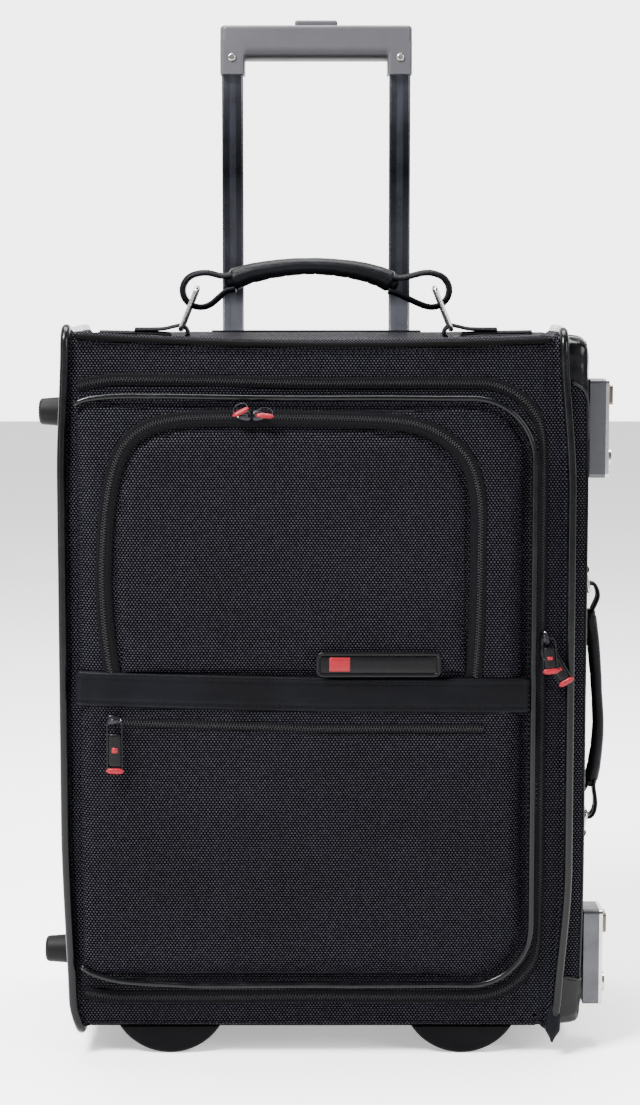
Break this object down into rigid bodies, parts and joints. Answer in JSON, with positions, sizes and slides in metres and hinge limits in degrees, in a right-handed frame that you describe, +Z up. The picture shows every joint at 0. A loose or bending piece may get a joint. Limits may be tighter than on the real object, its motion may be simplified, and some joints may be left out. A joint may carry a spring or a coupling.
{
  "type": "pilot rolling flight case",
  "caption": "Upright rolling pilot case in black woven fabric with a zipped front door, side-opening lid with latches, carry handles and a pull-out trolley.",
  "frame": {"origin": "on the floor under the middle of the case's outer box, standing on its wheels and stands", "axes": "+Z up, -Y towards the front door, +X towards the lid on the right side"},
  "size_m": [0.4185, 0.241, 0.7645],
  "materials": {
    "nylon": "black ballistic nylon, coarse dotted weave",
    "lining": "plain dark lining over board",
    "piping_vinyl": "glossy black vinyl piping",
    "zip_tape": "fine woven zip tape with black coil",
    "leather": "black soft leather, fine grain",
    "black_plastic": "moulded black plastic, fine texture",
    "grip_plastic": "dark grey moulded plastic, satin",
    "rubber": "black rubber",
    "tyre": "dark urethane tread",
    "tube_metal": "dark anodised, satin",
    "steel": "bright steel",
    "nickel": "nickel plated",
    "pull_metal": "black painted wire with red moulded tip",
    "badge_rubber": "black moulded patch with a plain red block"
  },
  "bodies": {
    "case": {"base_panel": "nylon", "bottom_panel": "nylon", "top_panel": "nylon", "rear_panel": "nylon", "front_frame": "nylon", "divider_panel": "lining", "base_piping": "piping_vinyl", "opening_piping": "piping_vinyl", "main_zip": "zip_tape", "front_stands": "black_plastic", "side_feet": "rubber", "wheel_fork_left": "black_plastic", "wheel_fork_right": "black_plastic", "wheel_axles": "steel", "outer_tubes": "tube_metal", "trolley_bezel": "black_plastic", "trolley_bracket": "black_plastic", "handle_tabs": "leather", "main_sliders": "nickel"},
    "wheel_left": {"tyre_left": "tyre", "hub_left": "black_plastic", "bearings_left": "steel"},
    "wheel_right": {"tyre_right": "tyre", "hub_right": "black_plastic", "bearings_right": "steel"},
    "trolley": {"inner_tubes": "tube_metal", "grip_upper_shell": "grip_plastic", "grip_lower_shell": "grip_plastic", "grip_screws": "nickel"},
    "release": {"release_button": "black_plastic", "pushrods": "steel"},
    "pin_left": {"lock_pin_left": "steel"},
    "pin_right": {"lock_pin_right": "steel"},
    "door": {"door_panel": "nylon", "door_piping": "piping_vinyl", "leather_band": "leather", "lower_zip": "zip_tape"},
    "flap": {"pocket_flap": "nylon", "flap_zip": "zip_tape", "badge": "badge_rubber", "flap_sliders": "nickel"},
    "flap_pull_left": {"flap_pull_left": "pull_metal"},
    "flap_pull_right": {"flap_pull_right": "pull_metal"},
    "main_pull_upper": {"main_pull_upper": "pull_metal"},
    "main_pull_lower": {"main_pull_lower": "pull_metal"},
    "pocket_slider": {"pocket_slider": "nickel"},
    "pocket_pull": {"pocket_pull": "pull_metal"},
    "lid": {"lid_panel": "nylon", "lid_piping": "piping_vinyl", "side_tabs": "leather", "latch_housings": "black_plastic", "latch_plates": "nickel"},
    "latch_button_upper": {"latch_button_upper": "nickel"},
    "latch_button_lower": {"latch_button_lower": "nickel"},
    "top_handle": {"top_handle": "leather"},
    "handle_ring_left": {"handle_ring_left": "nickel"},
    "handle_ring_right": {"handle_ring_right": "nickel"},
    "side_handle": {"side_handle": "leather"},
    "side_ring_upper": {"side_ring_upper": "nickel"},
    "side_ring_lower": {"side_ring_lower": "nickel"}
  },
  "joints": [
    {"name": "wheel_left_spin", "type": "hinge", "parent": "case", "child": "wheel_left", "pos_m": [-0.162, 0.092, 0.032], "axis": [1, 0, 0], "continuous": true},
    {"name": "wheel_right_spin", "type": "hinge", "parent": "case", "child": "wheel_right", "pos_m": [0.146, 0.092, 0.032], "axis": [1, 0, 0], "continuous": true},
    {"name": "trolley_slide", "type": "slide", "parent": "case", "child": "trolley", "axis": [0, 0, 1], "range_m": [-0.19, 0.165]},
    {"name": "button_press", "type": "slide", "parent": "trolley", "child": "release", "axis": [0, 0, -1], "range_m": [0, 0.004], "stiffness_N_per_m": 900, "springref_m": -0.004},
    {"name": "lock_pin_left_slide", "type": "slide", "parent": "trolley", "child": "pin_left", "axis": [0, 1, 0], "range_m": [0, 0.003]},
    {"name": "lock_pin_right_slide", "type": "slide", "parent": "trolley", "child": "pin_right", "axis": [0, 1, 0], "range_m": [0, 0.003]},
    {"name": "front_door_hinge", "type": "hinge", "parent": "case", "child": "door", "pos_m": [-0.186, -0.094, 0.268], "axis": [0, 0, 1], "range_deg": [-95, 0]},
    {"name": "pocket_flap_hinge", "type": "hinge", "parent": "door", "child": "flap", "pos_m": [-0.008, -0.1136, 0.2824], "axis": [1, 0, 0], "range_deg": [0, 120]},
    {"name": "pocket_slider_run", "type": "slide", "parent": "door", "child": "pocket_slider", "axis": [1, 0, 0], "range_m": [0, 0.25]},
    {"name": "pocket_pull_swing", "type": "hinge", "parent": "pocket_slider", "child": "pocket_pull", "pos_m": [-0.151, -0.1157, 0.25], "axis": [1, 0, 0], "range_deg": [-150, 0]},
    {"name": "flap_pull_left_swing", "type": "hinge", "parent": "flap", "child": "flap_pull_left", "pos_m": [-0.055, -0.1149, 0.468], "axis": [0, 0, 1], "range_deg": [0, 85]},
    {"name": "flap_pull_right_swing", "type": "hinge", "parent": "flap", "child": "flap_pull_right", "pos_m": [-0.051, -0.1149, 0.468], "axis": [0, 0, 1], "range_deg": [-85, 0]},
    {"name": "main_pull_upper_swing", "type": "hinge", "parent": "case", "child": "main_pull_upper", "pos_m": [0.1586, -0.1051, 0.309], "axis": [1, 0, 0], "range_deg": [-150, 0]},
    {"name": "main_pull_lower_swing", "type": "hinge", "parent": "case", "child": "main_pull_lower", "pos_m": [0.1566, -0.1017, 0.3005], "axis": [0, 1, 0], "range_deg": [-40, 20]},
    {"name": "lid_hinge", "type": "hinge", "parent": "case", "child": "lid", "pos_m": [0.184, 0.1195, 0.272], "axis": [0, 0, 1], "range_deg": [0, 110]},
    {"name": "latch_button_upper_slide", "type": "slide", "parent": "lid", "child": "latch_button_upper", "axis": [0, 0, -1], "range_m": [0, 0.006], "stiffness_N_per_m": 300, "springref_m": -0.004},
    {"name": "latch_button_lower_slide", "type": "slide", "parent": "lid", "child": "latch_button_lower", "axis": [0, 0, -1], "range_m": [0, 0.006], "stiffness_N_per_m": 300, "springref_m": -0.004},
    {"name": "top_handle_drop", "type": "slide", "parent": "case", "child": "top_handle", "axis": [0, 0, 1], "range_m": [-0.006, 0]},
    {"name": "handle_ring_left_lean", "type": "hinge", "parent": "case", "child": "handle_ring_left", "pos_m": [-0.108, -0.01, 0.5276], "axis": [0, 1, 0], "range_deg": [0, 10]},
    {"name": "handle_ring_right_lean", "type": "hinge", "parent": "case", "child": "handle_ring_right", "pos_m": [0.092, -0.01, 0.5276], "axis": [0, 1, 0], "range_deg": [-10, 0]},
    {"name": "side_handle_pull", "type": "slide", "parent": "lid", "child": "side_handle", "axis": [1, 0, 0], "range_m": [0, 0.0035]},
    {"name": "side_ring_lower_lean", "type": "hinge", "parent": "lid", "child": "side_ring_lower", "pos_m": [0.1926, -0.01, 0.149], "axis": [0, 1, 0], "range_deg": [0, 12.9]},
    {"name": "side_ring_upper_lean", "type": "hinge", "parent": "lid", "child": "side_ring_upper", "pos_m": [0.1926, -0.01, 0.349], "axis": [0, 1, 0], "range_deg": [-12.9, 0]}
  ],
  "couplings": [
    {"joint": "lock_pin_left_slide", "follows": "button_press", "ratio": 0.75},
    {"joint": "lock_pin_right_slide", "follows": "button_press", "ratio": 0.75},
    {"joint": "handle_ring_left_lean", "follows": "top_handle_drop", "rad_per_m": -29},
    {"joint": "handle_ring_right_lean", "follows": "top_handle_drop", "rad_per_m": 29},
    {"joint": "side_ring_lower_lean", "follows": "side_handle_pull", "rad_per_m": 64},
    {"joint": "side_ring_upper_lean", "follows": "side_handle_pull", "rad_per_m": -64}
  ]
}
